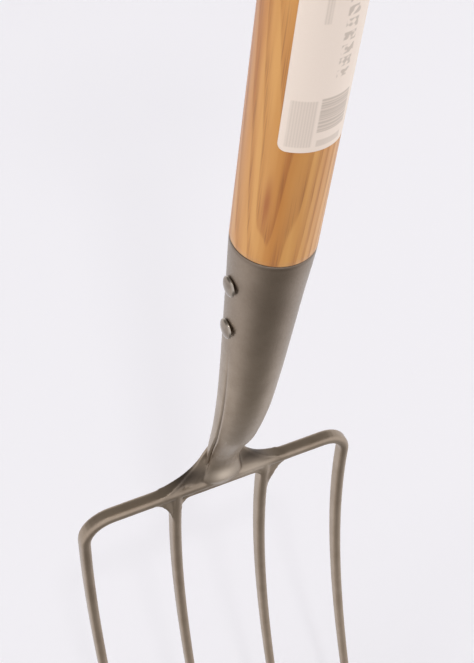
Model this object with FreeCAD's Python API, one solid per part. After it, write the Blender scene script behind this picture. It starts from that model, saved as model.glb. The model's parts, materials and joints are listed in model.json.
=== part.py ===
import FreeCAD, Part

import math
import os

from FreeCAD import Vector

# Digging fork with an ash shaft that is split into a D at its top, in millimetres.
# +Z runs up the shaft's axis, +X along the crossbar, and the tines curve towards -Y, the front.
# The origin is the middle of the hand grip, on the shaft's axis.

# Shaft, socket and head, as heights below the grip's axis
SHAFT_RADIUS = 20.0
RIM_Z = -566.0                  # the socket's rim, where wood meets steel
BAR_Z = RIM_Z - 218.8           # the crossbar's centre line
TINE_DROP = 292.0               # from the crossbar's centre line to the tips

# Socket: a tapered tube that leans back and flattens towards its foot.
# Each station is (depth below the rim, half width, half depth, lean towards the back).
SOCKET_STATIONS = [
    (0.0, 20.0, 20.0, 0.0),
    (31.6, 18.5, 18.5, 0.6),
    (63.2, 17.2, 17.2, 1.0),
    (94.7, 15.8, 15.8, 1.5),
    (126.3, 14.4, 14.2, 3.0),
    (157.9, 12.8, 11.6, 7.2),
    (185.0, 10.8, 8.2, 13.8),
    (212.0, 10.2, 6.0, 15.4),
]
SOCKET_WALL = 2.2
WOOD_CLEARANCE = 0.15
WOOD_DEPTH = 118.0              # how far the shaft reaches into the socket
TANG_DEPTH = 128.0              # where the tang ends, below the wood

# Crossbar and tines
BAR_HEIGHT = 6.4
BAR_DEPTH = 8.4
BAR_CORNER = 2.2
BAR_BACK = 14.8                 # the crossbar's centre lies this far behind the shaft's axis
OUTER_TINE_X = 87.9
INNER_TINE_X = 29.4
ELBOW_RADIUS = 17.2             # centre line of the bend from the crossbar to an outer tine
TINE_CURVE = (-3.14, -16.97, 1.32)   # Y change per 100 mm of depth, its square and its cube
TINE_SECTIONS = [               # (depth, width, thickness front to back)
    (0.0, 6.0, 9.0),
    (ELBOW_RADIUS, 6.0, 9.1),
    (60.0, 5.8, 8.8),
    (110.0, 5.5, 8.1),
    (160.0, 5.2, 7.4),
    (210.0, 4.8, 6.6),
    (255.0, 4.4, 5.8),
    (276.0, 3.2, 3.9),
    (TINE_DROP, 1.0, 1.0),
]
TINE_CORNER_SHARE = 0.25        # corner radius over width

# Web that joins the socket's foot, the crossbar and the inner tines
FLARE_RADIUS = 34.0             # of the hollow curves from the socket out to the crossbar
WEB_TOP = 24.0                  # above the crossbar's centre
WEB_TOP_FRONT, WEB_TOP_BACK = 12.0, 19.4
WEB_HALF_WIDTH = 47.0
WEB_FOOT = 28.0                 # how far it reaches down the inner tines
WEB_UNDERSIDE = 6.0             # below the crossbar's centre, between the inner tines
OUTER_FILLET_MIDDLE = (36.8, -10.4)  # X and height of the middle of the fillet outside an inner tine
INNER_FILLET = 5.5

# Rivets across the socket
RIVET_DEPTHS = {"socket_rivet_upper": 26.0, "socket_rivet_lower": 56.4}
RIVET_RADIUS = 2.8
RIVET_HEAD_RADIUS = 5.25
RIVET_HEAD_HEIGHT = 2.3
RIVET_TAIL_RADIUS = 4.2         # the tail on the right is hammered down flatter than the head
RIVET_TAIL_HEIGHT = 1.3
RIVET_STAND_OFF = 0.35          # the heads bear on the socket's widest line
BORE_CLEARANCE = 0.1

# Split D handle: each arm is half of the round shaft, flat on its inner side
ARM_INNER_X = 45.5              # the arm's flat side at the grip
ARM_FOOT_INNER_X = -0.5
ARM_FOOT_Z = -142.0             # where the arms start, inside the round shaft
ARM_FOOT_RADIUS = 19.0
ARM_STRAIGHT_Z = -30.0          # above this an arm runs straight up
ARM_TOP_Z = 23.0
ARM_RADIUS_AT_GRIP = 15.5
ARM_STEPS = 8
SHOULDER_Z = -134.0             # where the round shaft starts to narrow into the arms
CROTCH_Z = -122.0               # the bottom of the gap between the arms
CROTCH_RADIUS = 16.5

GRIP_RADIUS = 17.0
GRIP_END_RADIUS = 14.5
GRIP_STRAIGHT = 50.0            # the plain middle of the grip
GRIP_FALL_HALFWAY = 0.9         # how much the grip has slimmed halfway from there to its end
ROD_RADIUS = 3.0
ROD_HEAD_RADIUS = 5.5
ROD_HEAD_HEIGHT = 2.4
WASHER_RADIUS = 8.0
WASHER_HEIGHT = 1.8
CROTCH_RIVET_Z = -156.0
CROTCH_RIVET_RADIUS = 2.5
CROTCH_HEAD_RADIUS = 4.6
CROTCH_HEAD_HEIGHT = 2.1
CROTCH_SEAT = 1.8               # depth of the flat that a crotch washer is pulled into
GRIP_SEAT = 2.3                 # the same on the outside of each arm
FACE_GAP = 0.02                 # between faces that bear on each other

# Paper label on the front of the shaft
LABEL_FOOT = 65.0               # above the socket's rim
LABEL_HEIGHT = 165.0
LABEL_HALF_ANGLE = 46.5
LABEL_CORNER = 3.5
LABEL_GAP = 0.05
LABEL_THICKNESS = 0.3

ORIGIN = Vector(0, 0, 0)
X_AXIS, Y_AXIS, Z_AXIS = Vector(1, 0, 0), Vector(0, 1, 0), Vector(0, 0, 1)
REACH = 200.0                   # longer than the fork is wide, for cuts that go right through
OVERLAP = 1.0                   # how far fused solids reach into each other


def rounded_rectangle(centre, across, along, width, height, corner):
    """A wire of four straights and four arcs, width along across and height along along."""
    a, b = width / 2, height / 2
    cut = corner * (1 - math.sqrt(0.5))

    def at(u, v):
        return centre + across * u + along * v

    edges = []
    for su, sv in ((1, 1), (-1, 1), (-1, -1), (1, -1)):
        upright = at(su * a, sv * (b - corner))
        level = at(su * (a - corner), sv * b)
        middle = at(su * (a - cut), sv * (b - cut))
        first, last = (upright, level) if su * sv > 0 else (level, upright)
        if edges:
            edges.append(Part.LineSegment(edges[-1].Vertexes[-1].Point, first).toShape())
        edges.append(Part.Arc(first, middle, last).toShape())
    edges.append(Part.LineSegment(last, at(a, b - corner)).toShape())
    return Part.Wire(edges)


def extruded(outline, direction):
    return Part.Face(Part.Wire(outline)).extrude(direction)


def mirrored(piece):
    """The same piece on the other side of the fork."""
    return piece.mirror(ORIGIN, X_AXIS)


def line(*points):
    return [Part.LineSegment(a, b).toShape() for a, b in zip(points, points[1:])]


def tine_y(depth):
    s = depth / 100
    c1, c2, c3 = TINE_CURVE
    return BAR_BACK + c1 * s + c2 * s**2 + c3 * s**3


def tine_slope(depth):
    """Y change per mm of depth."""
    s = depth / 100
    c1, c2, c3 = TINE_CURVE
    return (c1 + 2 * c2 * s + 3 * c3 * s**2) / 100


def tine_section(x, depth, width, thickness):
    centre = Vector(x, tine_y(depth), BAR_Z - depth)
    square_on = Vector(0, 1, tine_slope(depth)).normalize()
    corner = TINE_CORNER_SHARE * width
    return rounded_rectangle(centre, X_AXIS, square_on, width, thickness, corner)


def tine(x, first=0):
    sections = [tine_section(x, *size) for size in TINE_SECTIONS[first:]]
    return Part.makeLoft(sections, True, False)


def elbow_section(angle):
    """A section of the bend from the crossbar, where angle is 0, to the outer tine, at 90 degrees."""
    share, turn = angle / 90, math.radians(angle)
    depth = ELBOW_RADIUS * (1 - math.cos(turn))
    x = OUTER_TINE_X - ELBOW_RADIUS * (1 - math.sin(turn))
    outward = Vector(math.sin(turn), 0, math.cos(turn))
    onward = Vector(math.cos(turn), tine_slope(depth) * math.sin(turn), -math.sin(turn))
    _, tine_width, tine_thickness = TINE_SECTIONS[1]
    height = BAR_HEIGHT + (tine_width - BAR_HEIGHT) * share
    thickness = BAR_DEPTH + (tine_thickness - BAR_DEPTH) * share
    corner = BAR_CORNER + (TINE_CORNER_SHARE * tine_width - BAR_CORNER) * share
    return rounded_rectangle(Vector(x, tine_y(depth), BAR_Z - depth),
                             outward.cross(onward).normalize(), outward, thickness, height, corner)


def half_bar():
    """Half of the crossbar, and the bend down to its outer tine."""
    middle = rounded_rectangle(
        Vector(0, BAR_BACK, BAR_Z), Y_AXIS, Z_AXIS, BAR_DEPTH, BAR_HEIGHT, BAR_CORNER)
    bend = [elbow_section(angle) for angle in (0, 30, 60, 90)]
    return [Part.makeLoft([middle, bend[0]], True, True), Part.makeLoft(bend, True, False)]


def web():
    """The thick middle: its front outline and its side outline, both extruded, where they meet."""
    bar_half = BAR_HEIGHT / 2
    tine_half = TINE_SECTIONS[0][1] / 2
    inside, outside = INNER_TINE_X - tine_half, INNER_TINE_X + tine_half
    fillet = INNER_FILLET * (1 - math.sqrt(0.5))
    flare_x = SOCKET_STATIONS[-1][1] + FLARE_RADIUS

    def at(side, x, z):
        return Vector(side * x, -REACH / 2, BAR_Z + z)

    def flare(side, z):
        drop = bar_half + FLARE_RADIUS - z
        return at(side, flare_x - math.sqrt(FLARE_RADIUS**2 - drop**2), z)

    outline = []
    for side in (1, -1):
        outline += [
            *line(at(side, 0, -WEB_UNDERSIDE), at(side, inside - INNER_FILLET, -WEB_UNDERSIDE)),
            Part.Arc(at(side, inside - INNER_FILLET, -WEB_UNDERSIDE),
                     at(side, inside - fillet, -WEB_UNDERSIDE - fillet),
                     at(side, inside, -WEB_UNDERSIDE - INNER_FILLET)).toShape(),
            *line(at(side, inside, -WEB_UNDERSIDE - INNER_FILLET), at(side, inside, -WEB_FOOT),
                  at(side, outside, -WEB_FOOT)),
            Part.Arc(at(side, outside, -WEB_FOOT), at(side, *OUTER_FILLET_MIDDLE),
                     at(side, WEB_HALF_WIDTH, -bar_half)).toShape(),
            *line(at(side, WEB_HALF_WIDTH, -bar_half), at(side, WEB_HALF_WIDTH, bar_half),
                  at(side, flare_x, bar_half)),
            Part.Arc(at(side, flare_x, bar_half), flare(side, WEB_TOP / 2),
                     flare(side, WEB_TOP)).toShape(),
            *line(flare(side, WEB_TOP), at(side, 0, WEB_TOP)),
        ]
    front = extruded(Part.__sortEdges__(outline), Vector(0, REACH, 0))

    foot_half = TINE_SECTIONS[1][2] / 2
    foot_y, bend_y = tine_y(WEB_FOOT), tine_y(WEB_FOOT / 2)
    bar_front, bar_back = BAR_BACK - BAR_DEPTH / 2, BAR_BACK + BAR_DEPTH / 2

    def beside(y, z):
        return Vector(-REACH / 2, y, BAR_Z + z)

    side_outline = [
        Part.Arc(beside(foot_y - foot_half, -WEB_FOOT), beside(bend_y - foot_half, -WEB_FOOT / 2),
                 beside(bar_front, 0)).toShape(),
        *line(beside(bar_front, 0), beside(bar_front, bar_half), beside(WEB_TOP_FRONT, WEB_TOP),
              beside(WEB_TOP_BACK, WEB_TOP), beside(bar_back, bar_half), beside(bar_back, 0)),
        Part.Arc(beside(bar_back, 0), beside(bend_y + foot_half, -WEB_FOOT / 2),
                 beside(foot_y + foot_half, -WEB_FOOT)).toShape(),
        *line(beside(foot_y + foot_half, -WEB_FOOT), beside(foot_y - foot_half, -WEB_FOOT)),
    ]
    return front.common(extruded(side_outline, Vector(REACH, 0, 0)))


def socket_section(station, inset):
    depth, half_width, half_depth, back = station
    oval = Part.Ellipse(Vector(0, back, RIM_Z - depth), half_width - inset, half_depth - inset)
    return Part.Wire(oval.toShape())


def socket_form(inset):
    return Part.makeLoft([socket_section(s, inset) for s in SOCKET_STATIONS], True, False)


def slab(top_z, bottom_z):
    corner = Vector(-REACH / 2, -REACH / 2, bottom_z)
    return Part.makeBox(REACH, REACH, top_z - bottom_z, corner)


def tang():
    """The part of the head that fills the socket's foot."""
    foot_z = RIM_Z - SOCKET_STATIONS[-1][0]
    return socket_form(SOCKET_WALL + WOOD_CLEARANCE).common(slab(RIM_Z - TANG_DEPTH, foot_z - OVERLAP))


def fork_head():
    right = [*half_bar(), tine(OUTER_TINE_X, first=1), tine(INNER_TINE_X)]
    left = [mirrored(piece) for piece in right]
    around_socket = web().multiFuse([*right, *left]).cut(socket_form(-FACE_GAP))
    return around_socket.fuse(tang()).removeSplitter()


def cross_bore(z, radius):
    return Part.makeCylinder(radius, REACH, Vector(-REACH / 2, 0, z), X_AXIS)


def socket():
    tube = socket_form(0).cut(socket_form(SOCKET_WALL))
    for depth in RIVET_DEPTHS.values():
        tube = tube.cut(cross_bore(RIM_Z - depth, RIVET_RADIUS + BORE_CLEARANCE))
    return tube


def socket_half_width(depth):
    for (d0, w0, *_), (d1, w1, *_) in zip(SOCKET_STATIONS, SOCKET_STATIONS[1:]):
        if d0 <= depth <= d1:
            return w0 + (w1 - w0) * (depth - d0) / (d1 - d0)


def domed_head(x, z, radius, height):
    """A low dome that faces +X, its flat side at x."""
    dome_radius = (radius**2 + height**2) / (2 * height)
    dome = Part.makeSphere(dome_radius, Vector(x + height - dome_radius, 0, z))
    return dome.common(Part.makeCylinder(radius, height, Vector(x, 0, z), X_AXIS))


def double_headed_pin(z, shank_radius, half_length, left_head, right_head):
    """A pin along X with a domed head, given as (radius, height), outside each end."""
    shank = Part.makeCylinder(shank_radius, 2 * half_length, Vector(-half_length, 0, z), X_AXIS)
    left = mirrored(domed_head(half_length, z, *left_head))
    return shank.multiFuse([left, domed_head(half_length, z, *right_head)])


def socket_rivet(depth):
    return double_headed_pin(
        RIM_Z - depth, RIVET_RADIUS, socket_half_width(depth) + RIVET_STAND_OFF,
        (RIVET_HEAD_RADIUS, RIVET_HEAD_HEIGHT), (RIVET_TAIL_RADIUS, RIVET_TAIL_HEIGHT))


def arm_section(centre, across, radius):
    """A half disc with eased corners, its flat side through centre, square to across."""
    def at(u, v):
        return centre + across * (u * radius) + Y_AXIS * (v * radius)

    edges = [
        Part.LineSegment(at(0, -0.75), at(0, 0.75)),
        Part.Arc(at(0, 0.75), at(0.095, 0.9), at(0.342, 0.94)),
        Part.Arc(at(0.342, 0.94), at(1, 0), at(0.342, -0.94)),
        Part.Arc(at(0.342, -0.94), at(0.095, -0.9), at(0, -0.75)),
    ]
    return Part.Wire([edge.toShape() for edge in edges])


def right_arm():
    """One half of the split shaft, bent out and up past the grip, with its top rounded off."""
    sections = []
    rise = ARM_STRAIGHT_Z - ARM_FOOT_Z
    for step in range(ARM_STEPS + 1):
        t = step / ARM_STEPS
        lean = (ARM_INNER_X - ARM_FOOT_INNER_X) * 6 * t * (1 - t) / rise
        x = ARM_FOOT_INNER_X + (ARM_INNER_X - ARM_FOOT_INNER_X) * t * t * (3 - 2 * t)
        centre = Vector(x, 0, ARM_FOOT_Z + rise * t)
        radius = ARM_FOOT_RADIUS + (ARM_RADIUS_AT_GRIP - ARM_FOOT_RADIUS) * t
        sections.append(arm_section(centre, Vector(1, 0, -lean).normalize(), radius))
    bent = Part.makeLoft(sections, True, False)
    straight = Part.Face(sections[-1]).extrude(Vector(0, 0, ARM_TOP_Z - ARM_STRAIGHT_Z))
    top_centre_z = ARM_TOP_Z - ARM_RADIUS_AT_GRIP
    wheel = cross_bore(top_centre_z, ARM_RADIUS_AT_GRIP)
    return bent.fuse(straight.common(wheel.fuse(slab(top_centre_z, ARM_STRAIGHT_Z))))


def shaft():
    round_part = Part.makeCylinder(SHAFT_RADIUS, SHOULDER_Z - RIM_Z, Vector(0, 0, RIM_Z))
    shoulder = Part.makeCone(
        SHAFT_RADIUS, CROTCH_RADIUS, CROTCH_Z - SHOULDER_Z, Vector(0, 0, SHOULDER_Z))
    foot = socket_form(SOCKET_WALL + WOOD_CLEARANCE).common(slab(RIM_Z, RIM_Z - WOOD_DEPTH))
    arm = right_arm()
    wood = round_part.multiFuse([shoulder, foot, arm, mirrored(arm)]).removeSplitter()
    bores = [(RIM_Z - depth, RIVET_RADIUS) for depth in RIVET_DEPTHS.values()]
    bores += [(0, ROD_RADIUS), (CROTCH_RIVET_Z, CROTCH_RIVET_RADIUS)]
    for z, radius in bores:
        wood = wood.cut(cross_bore(z, radius + BORE_CLEARANCE))
    for x, z in ((SHAFT_RADIUS - CROTCH_SEAT, CROTCH_RIVET_Z),
                 (ARM_INNER_X + ARM_RADIUS_AT_GRIP - GRIP_SEAT, 0)):
        seat = Part.makeCylinder(WASHER_RADIUS + BORE_CLEARANCE, REACH, Vector(x, 0, z), X_AXIS)
        wood = wood.cut(seat).cut(mirrored(seat))
    return wood


def hand_grip():
    half = ARM_INNER_X - FACE_GAP
    bore = ROD_RADIUS + BORE_CLEARANCE
    flat = GRIP_STRAIGHT / 2

    def at(x, r):
        return Vector(x, 0, r)

    shoulder_x, shoulder_r = (flat + half) / 2, GRIP_RADIUS - GRIP_FALL_HALFWAY
    outline = [
        *line(at(-half, bore), at(half, bore), at(half, GRIP_END_RADIUS)),
        Part.Arc(at(half, GRIP_END_RADIUS), at(shoulder_x, shoulder_r),
                 at(flat, GRIP_RADIUS)).toShape(),
        *line(at(flat, GRIP_RADIUS), at(-flat, GRIP_RADIUS)),
        Part.Arc(at(-flat, GRIP_RADIUS), at(-shoulder_x, shoulder_r),
                 at(-half, GRIP_END_RADIUS)).toShape(),
        *line(at(-half, GRIP_END_RADIUS), at(-half, bore)),
    ]
    return Part.Face(Part.Wire(outline)).revolve(ORIGIN, X_AXIS, 360)


def washer(side, inner_x, z, bore_radius):
    """A flat washer whose inner face is at inner_x on one side of the shaft."""
    base, direction = Vector(side * inner_x, 0, z), X_AXIS * side
    disc = Part.makeCylinder(WASHER_RADIUS, WASHER_HEIGHT, base, direction)
    return disc.cut(Part.makeCylinder(bore_radius + BORE_CLEARANCE, WASHER_HEIGHT, base, direction))


def grip_hardware():
    arm_face = ARM_INNER_X + ARM_RADIUS_AT_GRIP - GRIP_SEAT + FACE_GAP
    crotch_face = SHAFT_RADIUS - CROTCH_SEAT + FACE_GAP
    over_washer = WASHER_HEIGHT + FACE_GAP
    rod_head = ROD_HEAD_RADIUS, ROD_HEAD_HEIGHT
    crotch_head = CROTCH_HEAD_RADIUS, CROTCH_HEAD_HEIGHT
    pieces = {
        "grip_rod": double_headed_pin(0, ROD_RADIUS, arm_face + over_washer, rod_head, rod_head),
        "crotch_rivet": double_headed_pin(
            CROTCH_RIVET_Z, CROTCH_RIVET_RADIUS, crotch_face + over_washer, crotch_head, crotch_head),
    }
    for name, side in (("left", -1), ("right", 1)):
        pieces["grip_washer_" + name] = washer(side, arm_face, 0, ROD_RADIUS)
        pieces["crotch_washer_" + name] = washer(
            side, crotch_face, CROTCH_RIVET_Z, CROTCH_RIVET_RADIUS)
    return pieces


def label():
    inner = SHAFT_RADIUS + LABEL_GAP
    foot_z = RIM_Z + LABEL_FOOT
    sheet = Part.makeCylinder(inner + LABEL_THICKNESS, LABEL_HEIGHT, Vector(0, 0, foot_z))
    sheet = sheet.cut(Part.makeCylinder(inner, LABEL_HEIGHT, Vector(0, 0, foot_z)))
    width = 2 * inner * math.sin(math.radians(LABEL_HALF_ANGLE))
    in_front = Vector(0, -REACH, foot_z + LABEL_HEIGHT / 2)
    outline = rounded_rectangle(in_front, X_AXIS, Z_AXIS, width, LABEL_HEIGHT, LABEL_CORNER)
    return sheet.common(Part.Face(outline).extrude(Vector(0, REACH, 0)))


def make_nodes():
    nodes = {
        "fork_head": fork_head(),
        "socket": socket(),
        "shaft": shaft(),
        "hand_grip": hand_grip(),
        "label": label(),
    }
    nodes.update({name: socket_rivet(depth) for name, depth in RIVET_DEPTHS.items()})
    nodes.update(grip_hardware())
    return nodes


os.makedirs("parts", exist_ok=True)
for name, shape in make_nodes().items():
    solid, = shape.Solids
    print(f"{name}: valid {solid.isValid()}, {solid.Volume / 1000:.2f} cm3")
    solid.exportStep(f"parts/{name}.step")
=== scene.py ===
# %% [markdown]
# # A digging fork with an ash shaft
# The fork is a steel head on a round ash shaft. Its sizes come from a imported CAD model, the frame.
# Every piece that is made below goes where that model says, in metres, and rides on its one body.

# %% Load the frame
import json
import math

import bmesh
import bpy
import numpy as np
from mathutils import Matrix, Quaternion, Vector

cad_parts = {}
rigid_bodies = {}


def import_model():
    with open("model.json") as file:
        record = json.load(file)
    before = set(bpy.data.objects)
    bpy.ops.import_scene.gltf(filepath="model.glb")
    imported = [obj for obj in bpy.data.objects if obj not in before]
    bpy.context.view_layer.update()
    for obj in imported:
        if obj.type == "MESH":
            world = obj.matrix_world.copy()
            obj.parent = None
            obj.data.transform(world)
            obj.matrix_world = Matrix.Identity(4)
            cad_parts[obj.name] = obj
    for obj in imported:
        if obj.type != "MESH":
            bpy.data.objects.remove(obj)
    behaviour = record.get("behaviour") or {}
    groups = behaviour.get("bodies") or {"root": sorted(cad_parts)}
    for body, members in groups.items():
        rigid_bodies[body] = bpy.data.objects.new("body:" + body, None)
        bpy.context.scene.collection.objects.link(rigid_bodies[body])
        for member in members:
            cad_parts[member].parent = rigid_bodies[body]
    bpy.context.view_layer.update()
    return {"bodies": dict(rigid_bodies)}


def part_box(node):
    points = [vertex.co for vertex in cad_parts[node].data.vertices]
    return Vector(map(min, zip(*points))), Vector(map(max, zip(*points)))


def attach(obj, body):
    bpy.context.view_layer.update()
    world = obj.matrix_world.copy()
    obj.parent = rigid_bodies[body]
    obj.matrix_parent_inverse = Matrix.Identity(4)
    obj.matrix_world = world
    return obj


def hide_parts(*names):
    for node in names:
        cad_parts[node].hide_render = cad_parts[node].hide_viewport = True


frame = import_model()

BODY = list(frame["bodies"])[0]
MM = 0.001
RIM_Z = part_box("socket")[1].z
SHAFT_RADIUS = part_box("socket")[1].x
TIP_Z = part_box("fork_head")[0].z
print("body", BODY, "rim", round(RIM_Z / MM, 1), "mm, shaft radius", round(SHAFT_RADIUS / MM, 1), "mm")

# %% [markdown]
# ## Colours and nodes
# A colour picker shows sRGB values, but a shader works on linear ones, so one function turns hex
# values to linear. Another adds a node: an input that is given another node's output is linked,
# and an input that is given a number or a colour is set. A soft spot round a point, such as a knot,
# a patch of dust or a patch of painted shade, needs no image: it is e to the power of minus the
# distance squared.

# %% Helpers for materials
def srgb(hex_colour):
    channels = [int(hex_colour[i:i + 2], 16) / 255 for i in (1, 3, 5)]
    linear = [c / 12.92 if c <= 0.04045 else ((c + 0.055) / 1.055) ** 2.4 for c in channels]
    return (*linear, 1.0)


def add_node(tree, kind, inputs=(), **settings):
    node = tree.nodes.new(kind)
    for name, value in settings.items():
        setattr(node, name, value)
    for name, value in dict(inputs).items():
        if isinstance(value, bpy.types.NodeSocket):
            tree.links.new(value, node.inputs[name])
        else:
            node.inputs[name].default_value = value
    return node


def per_metre(size_mm):
    """The scale of a noise whose grains are about size_mm across."""
    return 1 / (size_mm * MM)


def new_material(name):
    material = bpy.data.materials.new(name)
    material.use_nodes = True
    tree = material.node_tree
    return material, tree, tree.nodes["Principled BSDF"]


def near_point(tree, place, point, radii_mm):
    """1 at a point, falling off smoothly with the distance over radii given for X, Y and Z."""
    away = add_node(tree, "ShaderNodeVectorMath", {0: place, 1: point}, operation="SUBTRACT")
    scaled = add_node(tree, "ShaderNodeVectorMath", {
        0: away.outputs[0], 1: [per_metre(radius) for radius in radii_mm]}, operation="MULTIPLY")
    square = add_node(tree, "ShaderNodeVectorMath", {0: scaled.outputs[0], 1: scaled.outputs[0]},
                      operation="DOT_PRODUCT")
    return add_node(tree, "ShaderNodeMath", {0: math.exp(-1), 1: square.outputs["Value"]},
                    operation="POWER").outputs[0]


print("mid grey, #808080, is", round(srgb("#808080")[0], 3), "in linear light")

# %% [markdown]
# ## Forged steel, shot-blasted and lacquered
# The head and socket are forged hot, cleaned by a blast of steel shot and given a thin lacquer. The
# blast leaves a fine even stipple, which spreads reflections into a satin sheen, and what is left of
# the scale makes the grey a little brown. A metal shows its colour only in what it reflects, so the
# base colour is that of its reflections. The upper socket is darkened with painted shade, more so just
# under the wood, and its sharp edges are painted pale: partly wear, partly a painted highlight. Grit
# dents are about 0.3 mm apart, too fine to show from here, so the stipple is drawn at 0.9 mm.

# %% Steel colour
STAIN, HAMMER_MARK, STIPPLE = 16, 9, 0.9        # sizes of the patterns, in mm


def steel_colour(tree, place, sharpness):
    """Grey with brown patches, with painted shade on the upper socket and just under the rim, and
    sharp edges painted pale: partly wear, partly a painted highlight.
    """
    stain = add_node(tree, "ShaderNodeTexNoise", {
        "Vector": place, "Scale": per_metre(STAIN), "Detail": 5.0, "Roughness": 0.6})
    tone = add_node(tree, "ShaderNodeMapRange", {
        "Value": stain.outputs["Fac"], "From Min": 0.36, "From Max": 0.64})
    colour = add_node(tree, "ShaderNodeMix", {
        "Factor": tone.outputs["Result"], 6: srgb("#a59582"), 7: srgb("#b0a08d")}, data_type="RGBA")
    height = add_node(tree, "ShaderNodeSeparateXYZ", {"Vector": place}).outputs["Z"]
    # Painted shade: the socket is darker just under the wood's edge and over its upper part.
    under_rim = add_node(tree, "ShaderNodeMapRange", {
        "Value": height, "From Min": RIM_Z - 7 * MM, "From Max": RIM_Z - 0.5 * MM, "To Max": 0.6},
        interpolation_type="SMOOTHSTEP")
    upper_shade = add_node(tree, "ShaderNodeMapRange", {
        "Value": height, "From Min": RIM_Z - 130 * MM, "From Max": RIM_Z - 20 * MM, "To Max": 0.4},
        interpolation_type="SMOOTHSTEP")
    painted_shade = add_node(tree, "ShaderNodeMath", {0: under_rim.outputs[0], 1: upper_shade.outputs[0]},
                     operation="MAXIMUM")
    shaded_steel = add_node(tree, "ShaderNodeMix", {
        "Factor": painted_shade.outputs[0], 6: colour.outputs[2], 7: srgb("#655649")}, data_type="RGBA")
    # Sharp edges are painted pale: partly wear, partly a painted highlight.
    rubbed_and_highlit = add_node(tree, "ShaderNodeMapRange", {
        "Value": sharpness, "From Min": 0.52, "From Max": 0.60, "To Max": 0.35})
    worn_and_highlit = add_node(tree, "ShaderNodeMix", {
        "Factor": rubbed_and_highlit.outputs["Result"], 6: shaded_steel.outputs[2], 7: srgb("#c9bfb0")}, data_type="RGBA")
    return worn_and_highlit.outputs[2]


# %% [markdown]
# Narrow hollows, and the two corners beside the socket's toe over the crossbar, are darkened with
# painted shade. A pale film lies on the toe itself and on the web beside it: partly dry dust, partly a
# painted highlight. Dust is no metal: it hides the reflections, so it turns the metal down as well as
# changing the colour.

# %% Painted shade in hollows and corners, and dust with a painted highlight
# Centres of the two patches of painted shade beside the toe.
SHADED_CORNERS = [Vector((x * MM, 16 * MM, RIM_Z - 208 * MM)) for x in (-25, 25)]
CORNER_RADII, CORNER_SHARE = (17, 12, 8), 0.85   # radii in mm

# A pale film, partly dust and partly a painted highlight on the toe.
DUST_AND_HIGHLIGHT = [                        # (place, radii in mm, how much of the film is there)
    (Vector((-1 * MM, 9 * MM, RIM_Z - 209 * MM)), (8, 8, 6.5), 0.95),
    (Vector((19 * MM, 10 * MM, RIM_Z - 219 * MM)), (13, 7, 4.5), 0.55)]


def painted_shade_in_hollows(tree, place, sharpness, colour):
    """The colour, darkened with painted shade in hollows and in the corners."""
    # Painted shade: hollows and the two corners by the toe are darkened.
    hollow = add_node(tree, "ShaderNodeMapRange", {
        "Value": sharpness, "From Min": 0.49, "From Max": 0.44, "To Max": 0.8})
    scaled = add_node(tree, "ShaderNodeMix", {
        "Factor": hollow.outputs["Result"], 6: colour, 7: srgb("#453d37")}, data_type="RGBA")
    for point in SHADED_CORNERS:
        corner = near_point(tree, place, point, CORNER_RADII)
        share = add_node(tree, "ShaderNodeMath", {0: corner, 1: CORNER_SHARE}, operation="MULTIPLY")
        scaled = add_node(tree, "ShaderNodeMix", {
            "Factor": share.outputs[0], 6: scaled.outputs[2], 7: srgb("#332c28")}, data_type="RGBA")
    return scaled.outputs[2]


def dust_and_highlight_film(tree, place):
    """How much of the steel the pale film hides, from 0 to 1: partly dust, partly a painted highlight.
    """
    film = 0.0
    for point, radii, amount in DUST_AND_HIGHLIGHT:
        spot = near_point(tree, place, point, radii)
        lying = add_node(tree, "ShaderNodeMath", {0: spot, 1: amount}, operation="MULTIPLY")
        film = add_node(tree, "ShaderNodeMath", {0: film, 1: lying.outputs[0]},
                        operation="MAXIMUM").outputs[0]
    return film


# %% [markdown]
# The relief has two sizes: the broad marks of the hammer, and the stipple of the shot on top of them.

# %% Forged steel
def forged_steel():
    material, tree, shader = new_material("forged_steel_shot_blasted")
    place = add_node(tree, "ShaderNodeTexCoord").outputs["Object"]
    sharpness = add_node(tree, "ShaderNodeNewGeometry").outputs["Pointiness"]
    colour = painted_shade_in_hollows(tree, place, sharpness, steel_colour(tree, place, sharpness))
    # The pale film is partly dust and partly a painted highlight on the toe.
    film = dust_and_highlight_film(tree, place)
    dusty_and_highlit = add_node(tree, "ShaderNodeMix", {"Factor": film, 6: colour, 7: srgb("#d3c5b2")},
                     data_type="RGBA")
    bare = add_node(tree, "ShaderNodeMapRange", {"Value": film, "To Min": 1.0, "To Max": 0.2})
    stipple = add_node(tree, "ShaderNodeTexNoise", {
        "Vector": place, "Scale": per_metre(STIPPLE), "Detail": 2.0, "Roughness": 0.55})
    hammered = add_node(tree, "ShaderNodeTexNoise", {
        "Vector": place, "Scale": per_metre(HAMMER_MARK), "Detail": 1.0})
    broad = add_node(tree, "ShaderNodeBump", {
        "Height": hammered.outputs["Fac"], "Strength": 0.5, "Distance": 0.07 * MM})
    fine = add_node(tree, "ShaderNodeBump", {
        "Height": stipple.outputs["Fac"], "Strength": 0.6, "Distance": 0.12 * MM,
        "Normal": broad.outputs["Normal"]})
    roughness = add_node(tree, "ShaderNodeMapRange", {
        "Value": stipple.outputs["Fac"], "From Min": 0.3, "From Max": 0.7,
        "To Min": 0.36, "To Max": 0.48})
    tree.links.new(dusty_and_highlit.outputs[2], shader.inputs["Base Color"])
    tree.links.new(bare.outputs[0], shader.inputs["Metallic"])
    tree.links.new(roughness.outputs["Result"], shader.inputs["Roughness"])
    tree.links.new(fine.outputs["Normal"], shader.inputs["Normal"])
    shader.inputs["Coat Weight"].default_value = 0.15
    shader.inputs["Coat Roughness"].default_value = 0.15
    return material


STEEL = forged_steel()
print(STEEL.name, len(STEEL.node_tree.nodes), "nodes")

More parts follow.
